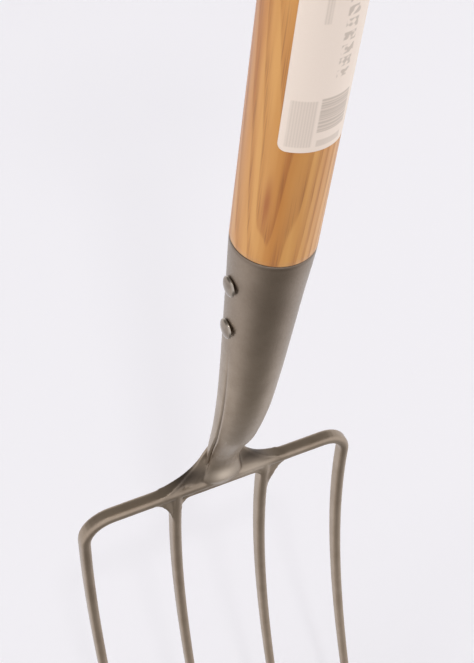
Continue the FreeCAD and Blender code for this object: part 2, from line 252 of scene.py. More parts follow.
# %% [markdown]
# ## Nickel-plated rivet steel
# The rivets stand out from the socket. Plating is smooth and reflects a pale, slightly warm picture
# of the room. The face has dulled with handling. The rim, which its sharpness picks out, is painted
# pale: partly rubbed bright, partly a painted highlight. The hammer leaves small flats, 4 mm wide,
# which break up the highlight.

# %% Plated rivets
HAMMER_FLAT = 4              # mm


def plated_steel():
    material, tree, shader = new_material("nickel_plated_rivet")
    place = add_node(tree, "ShaderNodeTexCoord").outputs["Object"]
    dents = add_node(tree, "ShaderNodeTexNoise", {
        "Vector": place, "Scale": per_metre(HAMMER_FLAT), "Detail": 1.0})
    face = add_node(tree, "ShaderNodeMix", {
        "Factor": dents.outputs["Fac"], 6: srgb("#7c7166"), 7: srgb("#aa9e8f")}, data_type="RGBA")
    sharpness = add_node(tree, "ShaderNodeNewGeometry").outputs["Pointiness"]
    # The rim is painted pale: partly rubbed bright, partly a painted highlight.
    edge = add_node(tree, "ShaderNodeMapRange", {
        "Value": sharpness, "From Min": 0.53, "From Max": 0.60})
    colour = add_node(tree, "ShaderNodeMix", {
        "Factor": edge.outputs[0], 6: face.outputs[2], 7: srgb("#e6dfd3")}, data_type="RGBA")
    flats = add_node(tree, "ShaderNodeBump", {
        "Height": dents.outputs["Fac"], "Strength": 0.5, "Distance": 0.12 * MM})
    roughness = add_node(tree, "ShaderNodeMapRange", {
        "Value": dents.outputs["Fac"], "To Min": 0.12, "To Max": 0.26})
    tree.links.new(colour.outputs[2], shader.inputs["Base Color"])
    tree.links.new(roughness.outputs["Result"], shader.inputs["Roughness"])
    tree.links.new(flats.outputs["Normal"], shader.inputs["Normal"])
    shader.inputs["Metallic"].default_value = 1.0
    return material


RIVET_STEEL = plated_steel()
print(RIVET_STEEL.name, len(RIVET_STEEL.node_tree.nodes), "nodes")

# %% [markdown]
# ## Varnished ash
# Ash grows in clear rings: a porous brown band in spring, then dense pale wood. A shaft is cut along
# the trunk, so the rings are sheets a few millimetres apart that run its whole length. Where a sheet
# meets the surface square-on it shows as a straight line. Where it lies nearly flat, the slope of the
# grain cuts it into long arches. All of it comes from one number, the distance from the tree's
# centre, bent a little by slow noise and by a knot that the rings swirl round.

# %% Rings of the tree
RING_WIDTH = 2.9 * MM
GRAIN_SLOPE = math.radians(2.5)
SWAY_SIZE, SWAY = 17, 9 * MM    # size in mm of the noise that bends the rings, and how far it does
KNOT_SWIRL, KNOT_PUSH = (5, 5, 24), 1.5 * MM     # radii in mm of the swirl, and how far it pushes


def along_grain(tree, place, along, squeeze):
    """Places squeezed along the grain, on which a noise comes out as long streaks."""
    factors = [squeeze if axis == along else 1.0 for axis in "XYZ"]
    return add_node(tree, "ShaderNodeVectorMath", {0: place, 1: factors},
                    operation="MULTIPLY").outputs[0]


def tree_distance(tree, place, pith, along, slope_axis, knot):
    """The distance from the tree's centre line, which runs through pith, bent by noise and a knot."""
    from_pith = add_node(tree, "ShaderNodeVectorMath", {0: place, 1: pith}, operation="SUBTRACT")
    sloping = add_node(tree, "ShaderNodeVectorRotate", {
        "Vector": from_pith.outputs[0], "Axis": slope_axis, "Angle": GRAIN_SLOPE})
    flat = along_grain(tree, sloping.outputs[0], along, 0.0)
    radius = add_node(tree, "ShaderNodeVectorMath", {0: flat}, operation="LENGTH")
    sway = add_node(tree, "ShaderNodeTexNoise", {
        "Vector": along_grain(tree, place, along, 0.045), "Scale": per_metre(SWAY_SIZE),
        "Detail": 2.0, "Roughness": 0.5})
    distance = add_node(tree, "ShaderNodeMath", {
        0: sway.outputs["Fac"], 1: SWAY, 2: radius.outputs[1]}, operation="MULTIPLY_ADD").outputs[0]
    if knot:
        swirl = near_point(tree, place, knot, KNOT_SWIRL)
        distance = add_node(tree, "ShaderNodeMath", {0: swirl, 1: KNOT_PUSH, 2: distance},
                            operation="MULTIPLY_ADD").outputs[0]
    return distance


def spring_band(tree, distance):
    """1 where a ring's spring wood starts, falling to 0 in its summer wood."""
    rings = add_node(tree, "ShaderNodeMath", {0: distance, 1: RING_WIDTH}, operation="DIVIDE")
    phase = add_node(tree, "ShaderNodeMath", {0: rings.outputs[0]}, operation="FRACT")
    spring = add_node(tree, "ShaderNodeMapRange", {
        "Value": phase.outputs[0], "From Min": 0.0, "From Max": 0.62, "To Min": 1.0, "To Max": 0.0},
        interpolation_type="SMOOTHSTEP")
    onset = add_node(tree, "ShaderNodeMapRange", {
        "Value": phase.outputs[0], "From Min": 0.86, "From Max": 1.0}, interpolation_type="SMOOTHSTEP")
    return add_node(tree, "ShaderNodeMath", {0: spring.outputs[0], 1: onset.outputs[0]},
                    operation="MAXIMUM").outputs[0]


# %% [markdown]
# Spring wood is full of pores, which show as dark streaks 0.2 mm wide, drawn here at 0.6 mm. Sap and
# light tint the wood in longer patches. Both ride on places that are squeezed along the grain.

# %% Colour of ash
PORE, TINT_PATCH = 0.6, 11      # widths in mm


def pores_in(tree, place, along, band):
    """The dark streaks of open pores, only in spring wood."""
    pores = add_node(tree, "ShaderNodeTexNoise", {
        "Vector": along_grain(tree, place, along, 0.02), "Scale": per_metre(PORE),
        "Detail": 2.0, "Roughness": 0.6})
    line = add_node(tree, "ShaderNodeMapRange", {
        "Value": pores.outputs["Fac"], "From Min": 0.50, "From Max": 0.68})
    return add_node(tree, "ShaderNodeMath", {0: line.outputs[0], 1: band},
                    operation="MULTIPLY").outputs[0]


def ash_colour(tree, place, along, band, pores):
    tint = add_node(tree, "ShaderNodeTexNoise", {
        "Vector": along_grain(tree, place, along, 0.045), "Scale": per_metre(TINT_PATCH),
        "Detail": 3.0, "Roughness": 0.55})
    tint_share = add_node(tree, "ShaderNodeMapRange", {
        "Value": tint.outputs["Fac"], "From Min": 0.34, "From Max": 0.66})
    summer_wood = add_node(tree, "ShaderNodeMix", {
        "Factor": tint_share.outputs[0], 6: srgb("#d39a50"), 7: srgb("#be7c33")}, data_type="RGBA")
    spring_wood = add_node(tree, "ShaderNodeMix", {
        "Factor": tint_share.outputs[0], 6: srgb("#b47433"), 7: srgb("#9a5520")}, data_type="RGBA")
    band_share = add_node(tree, "ShaderNodeMath", {0: band, 1: 0.48}, operation="MULTIPLY")
    wood = add_node(tree, "ShaderNodeMix", {
        "Factor": band_share.outputs[0], 6: summer_wood.outputs[2], 7: spring_wood.outputs[2]},
        data_type="RGBA")
    pore_share = add_node(tree, "ShaderNodeMath", {0: pores, 1: 0.45}, operation="MULTIPLY")
    return add_node(tree, "ShaderNodeMix", {
        "Factor": pore_share.outputs[0], 6: wood.outputs[2], 7: srgb("#7d4a22")},
        data_type="RGBA").outputs[2]


# %% [markdown]
# The knot has a red-brown heart, and a thin dark line is painted where the wood meets the rim: dirt
# and varnish gathered in the joint, and the painted shade of the gap. Varnish is a clear coat, which
# follows the pores a little.

# %% Ash
KNOT_HEART, HEART_SHARE = (1.8, 1.8, 12), 0.65  # radii in mm, and how much of the heart's colour shows
JOINT_STAIN_AND_SHADE = 0.9 * MM          # how far the dark line of dirt, varnish and painted shade runs up the wood above the socket's rim


def varnished_ash(name, pith, along, slope_axis, knot=None):
    """pith is a point on the tree's centre line, and along the axis that the grain follows, but for
    its slope about slope_axis."""
    material, tree, shader = new_material(name)
    place = add_node(tree, "ShaderNodeTexCoord").outputs["Object"]
    band = spring_band(tree, tree_distance(tree, place, pith, along, slope_axis, knot))
    pores = pores_in(tree, place, along, band)
    colour = ash_colour(tree, place, along, band, pores)
    if knot:
        heart = near_point(tree, place, knot, KNOT_HEART)
        share = add_node(tree, "ShaderNodeMath", {0: heart, 1: HEART_SHARE}, operation="MULTIPLY")
        colour = add_node(tree, "ShaderNodeMix", {
            "Factor": share.outputs[0], 6: colour, 7: srgb("#93400f")}, data_type="RGBA").outputs[2]
    height = add_node(tree, "ShaderNodeSeparateXYZ", {"Vector": place}).outputs["Z"]
    # A thin dark line at the rim: dirt and varnish, and painted shade of the gap.
    joint = add_node(tree, "ShaderNodeMapRange", {
        "Value": height, "From Min": RIM_Z + 0.3 * JOINT_STAIN_AND_SHADE, "From Max": RIM_Z + JOINT_STAIN_AND_SHADE,
        "To Min": 0.85, "To Max": 0.0})
    colour = add_node(tree, "ShaderNodeMix", {
        "Factor": joint.outputs[0], 6: colour, 7: srgb("#4a2c17")}, data_type="RGBA").outputs[2]
    relief = add_node(tree, "ShaderNodeBump", {
        "Height": pores, "Strength": 0.35, "Distance": 0.05 * MM}, invert=True)
    roughness = add_node(tree, "ShaderNodeMapRange", {"Value": band, "To Min": 0.42, "To Max": 0.55})
    tree.links.new(colour, shader.inputs["Base Color"])
    tree.links.new(roughness.outputs[0], shader.inputs["Roughness"])
    tree.links.new(relief.outputs["Normal"], shader.inputs["Normal"])
    shader.inputs["Coat Weight"].default_value = 0.3
    shader.inputs["Coat Roughness"].default_value = 0.22
    return material


def on_shaft(angle, height, radius=SHAFT_RADIUS):
    """A point on the shaft's surface, angle degrees round from the front, height above the rim."""
    turn = math.radians(angle)
    return Vector((radius * math.sin(turn), -radius * math.cos(turn), RIM_Z + height))


KNOT = on_shaft(-48, 36 * MM)
SHAFT_PITH = on_shaft(132, 0, 46 * MM)          # behind the shaft on its right, and outside it
GRIP_PITH = Vector((0, 38 * MM, 22 * MM))
ASH = varnished_ash("varnished_ash", SHAFT_PITH, "Z", (0.67, -0.74, 0), KNOT)
ASH_GRIP = varnished_ash("varnished_ash_turned", GRIP_PITH, "X", (0, 0.5, -0.87))
print(ASH.name, "has its knot", round((KNOT.z - RIM_Z) / MM), "mm over the rim")

# %% [markdown]
# ## Label paper
# The sticker is cream paper under a thin matt film. Its print is generic: a block of fine lines, a
# stack of bars, and plain blocks in place of words. The mesh carries a UV map in millimetres, across
# and up from the middle of the label's foot, and each patch of print is a box in those millimetres.

# %% Boxes of print
INK_EDGE = 0.35                 # mm over which the edge of a print fades


def box_mask(tree, u, v, box):
    """1 inside a box of (left, foot, right, top), in millimetres, with soft edges."""
    left, foot, right, top = box
    mask = 1.0
    for value, low, high in ((u, left, right), (v, foot, top)):
        middle, half = (low + high) / 2, (high - low) / 2
        off = add_node(tree, "ShaderNodeMath", {0: value, 1: middle}, operation="SUBTRACT")
        away = add_node(tree, "ShaderNodeMath", {0: off.outputs[0]}, operation="ABSOLUTE")
        inside = add_node(tree, "ShaderNodeMapRange", {
            "Value": away.outputs[0], "From Min": half - INK_EDGE, "From Max": half + INK_EDGE,
            "To Min": 1.0, "To Max": 0.0})
        mask = add_node(tree, "ShaderNodeMath", {0: mask, 1: inside.outputs[0]},
                        operation="MULTIPLY").outputs[0]
    return mask


# %% [markdown]
# Three patterns fill the boxes. Bars lie across the label and vary in width, so a noise along its
# length is cut off sharply. Fine lines run up it, 1.1 mm apart. Words are rows of broken strokes.

# %% Label's print
def bars(tree, v):
    noise = add_node(tree, "ShaderNodeTexNoise", {"W": v, "Scale": 1.1, "Detail": 2.0},
                     noise_dimensions="1D")
    return add_node(tree, "ShaderNodeMapRange", {
        "Value": noise.outputs["Fac"], "From Min": 0.42, "From Max": 0.56, "To Min": 0.5}).outputs[0]


def fine_lines(tree, u):
    phase = add_node(tree, "ShaderNodeMath", {0: u, 1: 0.55}, operation="PINGPONG")
    return add_node(tree, "ShaderNodeMapRange", {
        "Value": phase.outputs[0], "From Min": 0.1, "From Max": 0.45, "To Min": 0.55}).outputs[0]


def broken_words(tree, uv, v):
    phase = add_node(tree, "ShaderNodeMath", {0: v, 1: 2.7}, operation="PINGPONG")
    letter = add_node(tree, "ShaderNodeMapRange", {
        "Value": phase.outputs[0], "From Min": 0.5, "From Max": 1.0})
    noise = add_node(tree, "ShaderNodeTexNoise", {"Vector": uv, "Scale": 0.45, "Detail": 0.0})
    stroke = add_node(tree, "ShaderNodeMapRange", {
        "Value": noise.outputs["Fac"], "From Min": 0.40, "From Max": 0.54})
    return add_node(tree, "ShaderNodeMath", {0: letter.outputs[0], 1: stroke.outputs[0]},
                    operation="MULTIPLY").outputs[0]


def label_ink(tree, uv):
    """How much ink lies on each place of the label, from 0 to 1."""
    split = add_node(tree, "ShaderNodeSeparateXYZ", {"Vector": uv})
    u, v = split.outputs["X"], split.outputs["Y"]
    lines, words = fine_lines(tree, u), broken_words(tree, uv, v)
    prints = [                  # (pattern, box of left, foot, right and top in mm, strength)
        (bars(tree, v), (-1.8, 9.4, 12.6, 25.4), 0.45),
        (lines, (-13.6, 2.6, -3.2, 24.6), 0.24),
        (1.0, (-1.2, 2.4, 11.0, 5.6), 0.24),
        (words, (2.4, 34.0, 8.2, 74.0), 0.42),
        (words, (2.4, 80.0, 8.2, 150.0), 0.42),
        (lines, (-6.4, 58.0, -3.8, 146.0), 0.22)]
    ink = 0.0
    for pattern, box, strength in prints:
        shape = add_node(tree, "ShaderNodeMath", {0: box_mask(tree, u, v, box), 1: pattern},
                         operation="MULTIPLY")
        patch = add_node(tree, "ShaderNodeMath", {0: shape.outputs[0], 1: strength},
                         operation="MULTIPLY")
        ink = add_node(tree, "ShaderNodeMath", {0: ink, 1: patch.outputs[0]},
                       operation="MAXIMUM").outputs[0]
    return ink


# %% [markdown]
# The paper's fibres, 0.6 mm apart, tint it a little and roughen the film over it.

# %% Label paper
def label_paper():
    material, tree, shader = new_material("label_paper_matt_film")
    uv = add_node(tree, "ShaderNodeUVMap", uv_map="millimetres").outputs["UV"]
    fibre = add_node(tree, "ShaderNodeTexNoise", {"Vector": uv, "Scale": 1.6, "Detail": 3.0})
    paper = add_node(tree, "ShaderNodeMix", {
        "Factor": fibre.outputs["Fac"], 6: srgb("#e9d9c9"), 7: srgb("#ecdecf")}, data_type="RGBA")
    printed = add_node(tree, "ShaderNodeMix", {
        "Factor": label_ink(tree, uv), 6: paper.outputs[2], 7: srgb("#85786a")}, data_type="RGBA")
    grain = add_node(tree, "ShaderNodeBump", {
        "Height": fibre.outputs["Fac"], "Strength": 0.3, "Distance": 0.03 * MM})
    tree.links.new(printed.outputs[2], shader.inputs["Base Color"])
    tree.links.new(grain.outputs["Normal"], shader.inputs["Normal"])
    shader.inputs["Roughness"].default_value = 0.5
    shader.inputs["Specular IOR Level"].default_value = 0.4
    return material


PAPER = label_paper()
print(PAPER.name, len(PAPER.node_tree.nodes), "nodes")

# %% [markdown]
# ## Making pieces
# Most pieces are lofts: rings of points, one after another, with faces between them. That suits bars,
# tubes and turned work, which all have one clear direction, and keeps their faces even.

# %% Helpers for meshes
def loft(rings, capped=True):
    """Vertices and faces of closed rings joined one to the next."""
    count = len(rings[0])
    verts = [point for ring in rings for point in ring]
    faces = []
    for level in range(len(rings) - 1):
        for i in range(count):
            j = (i + 1) % count
            low, high = level * count, (level + 1) * count
            faces.append((low + i, low + j, high + j, high + i))
    if capped:
        last = (len(rings) - 1) * count
        faces.append(tuple(range(count - 1, -1, -1)))
        faces.append(tuple(range(last, last + count)))
    return verts, faces


def new_object(name, verts, faces):
    """An object with a mesh whose faces all look outward."""
    mesh = bpy.data.meshes.new(name)
    mesh.from_pydata([tuple(v) for v in verts], [], faces)
    obj = bpy.data.objects.new(name, mesh)
    bpy.context.collection.objects.link(obj)
    cleaner = bmesh.new()
    cleaner.from_mesh(mesh)
    bmesh.ops.recalc_face_normals(cleaner, faces=cleaner.faces)
    cleaner.to_mesh(mesh)
    cleaner.free()
    return obj


def apply_modifiers(obj):
    """Makes what the modifiers give the piece's own mesh."""
    graph = bpy.context.evaluated_depsgraph_get()
    mesh = bpy.data.meshes.new_from_object(obj.evaluated_get(graph))
    obj.modifiers.clear()
    obj.data = mesh


# %% [markdown]
# A finished mesh becomes a piece of the fork when it gets its material, rides on the body and
# hides the plain CAD solids that it stands for.

# %% Making a mesh a piece
def finish_piece(obj, material, *nodes):
    """Makes a mesh a piece of the fork, in place of the CAD nodes that are named."""
    obj.data.materials.clear()
    obj.data.materials.append(material)
    for face in obj.data.polygons:
        face.use_smooth = True
    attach(obj, BODY)
    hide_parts(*nodes)
    print(obj.name, len(obj.data.polygons), "faces")


# %% [markdown]
# ## The head: crossbar, tines and web
# The head is one forging. Its four tines are bars about 6 by 9 mm that bend forward all the way down
# and taper to points. A forging has no sharp joins, so the bars are lofted a little fat, and a voxel
# remesh melts them into one skin, which a few rounds of smoothing then rounds and slims.

# %% Head sizes
BAR_Z = RIM_Z - 218.8 * MM
BAR_BACK = 14.8 * MM
BAR_HALF = 3.2 * MM
BAR_DEEP, BAR_CORNER = 8.4 * MM, 2.7 * MM
OUTER_TINE_X, INNER_TINE_X = 87.7 * MM, 29.4 * MM
ELBOW_RADIUS = 17.2 * MM
TINE_CURVE = (-3.14 * MM, -16.97 * MM, 1.32 * MM)   # per 100 mm of depth, its square, its cube
TINE_DROP = BAR_Z - TIP_Z - 0.9 * MM
TINE_SIZES = [                                       # (share of the drop, width, thickness)
    (0.0, 6.0, 9.0), (0.2, 5.8, 8.8), (0.4, 5.5, 8.1), (0.6, 5.1, 7.2),
    (0.8, 4.6, 6.2), (0.9, 4.2, 5.4), (0.95, 3.2, 4.0), (1.0, 1.6, 1.7)]
TINE_CORNER = 0.46                                   # share of the width: nearly half round
SKIN = 0.25 * MM                                     # what smoothing takes off every side


def tine_y(depth):
    """How far back a tine's middle is at a depth under the crossbar's middle."""
    s = depth / (100 * MM)
    return BAR_BACK + sum(c * s ** power for power, c in enumerate(TINE_CURVE, start=1))


def tine_lean(depth):
    step = 0.5 * MM
    return (tine_y(depth + step) - tine_y(depth - step)) / (2 * step)


def tine_size(depth):
    shares, widths, thicknesses = zip(*TINE_SIZES)
    share = depth / TINE_DROP
    return np.interp(share, shares, widths) * MM, np.interp(share, shares, thicknesses) * MM


print("tines drop", round(TINE_DROP / MM, 1), "mm under the crossbar")

# %% [markdown]
# Every ring of a bar is a rectangle with round corners. A tine's ring is square to its slope. The
# crossbar's ring turns through the elbow, and changes there from the bar's section to the tine's.

# %% Rings of the bars
def rounded_ring(centre, across, along, width, height, corner, corner_steps=5):
    """A rectangle with round corners: its width lies along one direction, its height the other."""
    points = []
    for su, sv, start in ((1, 1, 0), (-1, 1, 90), (-1, -1, 180), (1, -1, 270)):
        cu, cv = su * (width / 2 - corner), sv * (height / 2 - corner)
        for step in range(corner_steps):
            turn = math.radians(start + 90 * step / (corner_steps - 1))
            u, v = cu + corner * math.cos(turn), cv + corner * math.sin(turn)
            points.append(centre + across * u + along * v)
    return points


def tine_ring(x, depth):
    width, thickness = tine_size(depth)
    square_on = Vector((0, 1, tine_lean(depth))).normalized()
    centre = Vector((x, tine_y(depth), BAR_Z - depth))
    return rounded_ring(centre, Vector((1, 0, 0)), square_on,
                        width + 2 * SKIN, thickness + 2 * SKIN, TINE_CORNER * width)


def bar_ring(side, x, turn):
    """A ring of the crossbar at x, or of its elbow once turn, in radians, is above 0."""
    depth = ELBOW_RADIUS * (1 - math.cos(turn))
    share = turn / (math.pi / 2)
    outward = Vector((side * math.sin(turn), 0, math.cos(turn)))
    onward = Vector((side * math.cos(turn), tine_lean(depth) * math.sin(turn), -math.sin(turn)))
    width, thickness = tine_size(ELBOW_RADIUS)
    high = 2 * BAR_HALF + (width - 2 * BAR_HALF) * share
    deep = BAR_DEEP + (thickness - BAR_DEEP) * share
    centre = Vector((side * x, tine_y(depth), BAR_Z - depth))
    return rounded_ring(centre, outward.cross(onward).normalized(), outward,
                        deep + 2 * SKIN, high + 2 * SKIN, BAR_CORNER)


# %% [markdown]
# The crossbar was bent down into the outer tines while it was hot, so each half of it is one run of
# rings that ends in an elbow. The halves overlap by a few millimetres in the middle, and the inner
# tines start inside the bar, because the remesh only melts together what overlaps.

# %% Head bars
def head_rods():
    """The crossbar's halves with their elbows, and the tines, each as a list of rings."""
    straight = OUTER_TINE_X - ELBOW_RADIUS
    turns = np.radians(np.arange(10, 91, 10))
    overlap = 2 * MM
    rods = []
    for side in (1, -1):
        bar = [bar_ring(side, x, 0) for x in np.linspace(-overlap, straight, 24)]
        bar += [bar_ring(side, straight + ELBOW_RADIUS * math.sin(turn), turn) for turn in turns]
        rods.append(bar)
        for x, top in ((OUTER_TINE_X, ELBOW_RADIUS - MM), (INNER_TINE_X, 0)):
            rods.append([tine_ring(side * x, depth) for depth in np.linspace(top, TINE_DROP, 64)])
    return rods


# %% [markdown]
# The web is the thick middle, where the inner tines, the crossbar and the socket's foot meet. Seen
# from the front it has small hollow corners inside the inner tines, larger ones outside them, and
# long hollow flares that run from the crossbar up the sides of the socket. It is drawn as that
# outline, given a front and a back that vary with the height. Along the bars both sink below the
# bars' own faces, so that the web runs out in them and leaves no step.

# %% Web
WEB_UNDERSIDE, WEB_FOOT = -6.0 * MM, -28 * MM
FLARE_RADIUS = 34 * MM
FLARE_X = 10.2 * MM + FLARE_RADIUS
INNER_HOLLOW, OUTER_HOLLOW = 5.5 * MM, 14.6 * MM    # radii of the corners beside an inner tine
WEB_SECTION = [                 # (height over the crossbar's middle, front's y, back's y), in mm
    (-28, 9.8, 15.4), (-21, 9.1, 17.0), (-14, 9.6, 18.3), (-6, 10.9, 18.7), (-2, 9.9, 18.9),
    (1, 9.3, 19.0), (4, 11.3, 19.1), (7, 13.7, 19.1), (11, 15.8, 19.2), (16, 17.0, 19.3),
    (38, 17.6, 19.4)]
SINK_FROM, SINK_TO, SINK = 38 * MM, 47 * MM, 1.8 * MM


def web_half_outline():
    """Points (x, height over the crossbar's centre) of the web's right half, from foot to top."""
    inside, outside = INNER_TINE_X - 3 * MM, INNER_TINE_X + 3 * MM
    points = [(0, WEB_UNDERSIDE)]
    for turn in np.radians(np.linspace(90, 0, 7)):
        points.append((inside - INNER_HOLLOW + INNER_HOLLOW * math.cos(turn),
                       WEB_UNDERSIDE - INNER_HOLLOW + INNER_HOLLOW * math.sin(turn)))
    points += [(inside + 1.5 * MM, WEB_FOOT), (outside - 1.5 * MM, WEB_FOOT)]
    tall = -BAR_HALF - WEB_FOOT
    for turn in np.radians(np.linspace(170, 90, 9)):
        points.append((outside + OUTER_HOLLOW + OUTER_HOLLOW * math.cos(turn),
                       WEB_FOOT + tall * math.sin(turn)))
    for turn in np.radians(np.linspace(270, 200, 15)):
        points.append((FLARE_X + FLARE_RADIUS * math.cos(turn),
                       BAR_HALF + FLARE_RADIUS + FLARE_RADIUS * math.sin(turn)))
    top = points[-1][1] + 8 * MM
    return points + [(8 * MM, top), (0, top)]


def web_faces():
    """The web's front and back, joined round its outline."""
    heights, fronts, backs = (np.array(column) * MM for column in zip(*WEB_SECTION))
    right = web_half_outline()
    outline = right + [(-x, z) for x, z in reversed(right[1:-1])]
    sunk = [np.interp(abs(x), [SINK_FROM, SINK_TO], [0, SINK]) for x, z in outline]
    front = [Vector((x, np.interp(z, heights, fronts) + tuck, BAR_Z + z))
             for (x, z), tuck in zip(outline, sunk)]
    back = [Vector((x, np.interp(z, heights, backs) - tuck, BAR_Z + z))
            for (x, z), tuck in zip(outline, sunk)]
    return loft([front, back])


print("web has", len(web_half_outline()), "points round each half")

# %% [markdown]
# ## The socket's shape
# The socket is a tube that fits flush round the shaft at its rim. Below that it narrows, leans back
# and is pressed flat in front and behind. Over the crossbar it widens again into a toe, which melts
# into the web. It was rolled from flat steel, and the edges meet in a seam on the left side, which
# opens into a deep crease towards the foot. One function gives the distance round every level, so the
# same form makes both the socket's mesh and the root that the head reaches up into it.

# %% Socket form
SOCKET_STATIONS = [             # (depth below the rim, half width, half depth, lean to the back)
    (0.0, 20.0, 20.0, 0.0), (31.6, 18.5, 18.5, 0.6), (63.2, 17.2, 17.2, 1.0),
    (94.7, 15.8, 15.8, 1.5), (126.3, 14.4, 14.2, 3.0), (157.9, 12.8, 11.6, 7.2),
    (185.0, 10.9, 8.2, 13.8), (198.0, 10.9, 6.0, 15.4), (204.0, 11.8, 5.8, 15.4),
    (209.0, 12.8, 6.2, 15.2), (213.0, 13.6, 6.4, 15.1), (216.0, 13.7, 6.0, 15.2),
    (219.0, 13.2, 4.9, 15.3), (223.0, 12.0, 4.0, 15.4)]
SEAM_ANGLE = -78                # degrees round from the front, so a little forward of the left side


def smooth_between(depth_mm):
    """Half width, half depth and lean at a depth, on Catmull-Rom curves through the stations."""
    stations = [SOCKET_STATIONS[0], *SOCKET_STATIONS, SOCKET_STATIONS[-1]]
    depths = [station[0] for station in SOCKET_STATIONS]
    i = min(max(int(np.searchsorted(depths, depth_mm, "right")), 1), len(depths) - 1)
    t = (depth_mm - depths[i - 1]) / (depths[i] - depths[i - 1])
    p0, p1, p2, p3 = (np.array(stations[i + k - 1][1:]) for k in range(4))
    curve = 2 * p1 + (p2 - p0) * t + (2 * p0 - 5 * p1 + 4 * p2 - p3) * t ** 2
    return 0.5 * (curve + (3 * p1 - p0 - 3 * p2 + p3) * t ** 3)


def seam_depth(depth_mm, angle):
    """How far the seam's crease, and its fainter mirror on the right, sink into the socket."""
    deep = np.interp(depth_mm, [70, 100, 150, 185, 212, 222], [0, 0.5, 0.9, 1.8, 2.4, 2.4])
    wide = np.interp(depth_mm, [70, 150, 185, 222], [2.0, 2.4, 4, 8])
    left = math.exp(-abs((angle - SEAM_ANGLE) / wide) ** 1.3)
    right = math.exp(-((angle + SEAM_ANGLE) / (2.5 * wide)) ** 2)
    return deep * (left + 0.25 * right)


def socket_ring(depth_mm, inset_mm=0.0, steps=240):
    """A level of the socket, with faint flutes that the press left in front."""
    half_width, half_depth, lean = smooth_between(depth_mm)
    flutes = np.interp(depth_mm, [150, 185, 205], [0, 0.1, 0])
    points = []
    for step in range(steps):
        angle = -180 + 360 * step / steps
        turn = math.radians(angle)
        x, y = half_width * math.sin(turn), -half_depth * math.cos(turn)
        reach = math.hypot(x, y)
        in_front = max(math.cos(turn), 0) ** 2
        shrink = inset_mm + seam_depth(depth_mm, angle) + flutes * in_front * math.sin(angle / 3.2)
        share = (reach - shrink) / reach
        points.append(Vector((x * share * MM, (lean + y * share) * MM, RIM_Z - depth_mm * MM)))
    return points


print("socket's toe is", round(2 * smooth_between(216)[0], 1), "mm wide")

# %% [markdown]
# The root fills the foot of the socket. High up it stays inside the socket's wall, and at the toe it
# comes just outside, so that the head's own skin runs from the toe to the web without an edge. Bars,
# web and root are then one mesh of overlapping lofts, for the remesh to melt.

# %% Make the head
ROOT_INSETS = [(176, 1.5), (194, 1.4), (201, 0.3), (213, -0.4)]   # (depth, inside the socket) in mm
GRAIN_OF_SKIN = 0.72 * MM       # fine enough for the tips, coarse enough to keep the mesh light
ROUNDS_OF_SMOOTHING = 6


def root_rings():
    depths, insets = zip(*ROOT_INSETS)
    return [socket_ring(depth, np.interp(depth, depths, insets), 120)
            for depth in np.linspace(176, 222, 24)]


def make_head():
    lofts = [loft(rings) for rings in head_rods()] + [web_faces(), loft(root_rings())]
    verts, faces = [], []
    for part_verts, part_faces in lofts:
        start = len(verts)
        verts += part_verts
        faces += [tuple(start + i for i in face) for face in part_faces]
    head = new_object("fork_head_forging", verts, faces)
    melt = head.modifiers.new("melt", "REMESH")
    melt.mode, melt.voxel_size = "VOXEL", GRAIN_OF_SKIN
    smooth = head.modifiers.new("smooth", "SMOOTH")
    smooth.factor, smooth.iterations = 0.5, ROUNDS_OF_SMOOTHING
    apply_modifiers(head)
    finish_piece(head, STEEL, "fork_head")


make_head()

# %% [markdown]
# ## The socket
# The mesh has a ring every 1.5 mm, and every 0.5 mm at the toe, so the crease and the flutes are real
# geometry. The rim's edge is eased, and the tube goes a little way down inside, past the point where
# the wood hides it.

# %% Make the socket
SOCKET_WALL, RIM_EASE = 2.2, 0.25               # mm
HIDDEN_DEPTH = 6.0              # mm under the rim that the tube's inside and the wood go on, unseen


def make_socket():
    rings = [socket_ring(depth, SOCKET_WALL) for depth in (HIDDEN_DEPTH, RIM_EASE)]
    rings += [socket_ring(0.0, inset) for inset in (SOCKET_WALL - RIM_EASE, RIM_EASE)]
    rings += [socket_ring(0.1, 0.1), socket_ring(RIM_EASE, 0.0)]
    rings += [socket_ring(depth) for depth in np.arange(2, 213, 1.5)]
    rings += [socket_ring(depth) for depth in np.arange(213, 223.1, 0.5)]
    socket = new_object("steel_socket", *loft(rings))
    finish_piece(socket, STEEL, "socket")


make_socket()

# %% [markdown]
# ## The ash shaft
# The shaft is one stick. Its top is sawn down the middle, steamed and spread into two arms that hold
# the grip. In the mesh every level of the round part is one ring, and at the bottom of the split the
# ring becomes two half rings that share a line across the shaft.

# %% Shaft sizes
GRIP_HALF_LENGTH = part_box("hand_grip")[1].x
ARM_TOP_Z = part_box("shaft")[1].z
SPLIT_Z, STRAIGHT_Z = -136 * MM, -30 * MM
ARM_RADIUS = 15.5 * MM
TURNED_IN = 0.2                 # share of the arm's radius that its rounded top loses
HALF_STEPS, FLAT_STEPS = 48, 24
EASINGS = 14                    # rounds of easing on an arm that is fully out of the shaft


def eased(points, rounds):
    """Rounds a ring's corners by letting every point move towards its neighbours."""
    ring = np.array(points)
    for _ in range(rounds):
        ring = 0.5 * ring + 0.25 * (np.roll(ring, 1, 0) + np.roll(ring, -1, 0))
    return [Vector(point) for point in ring]


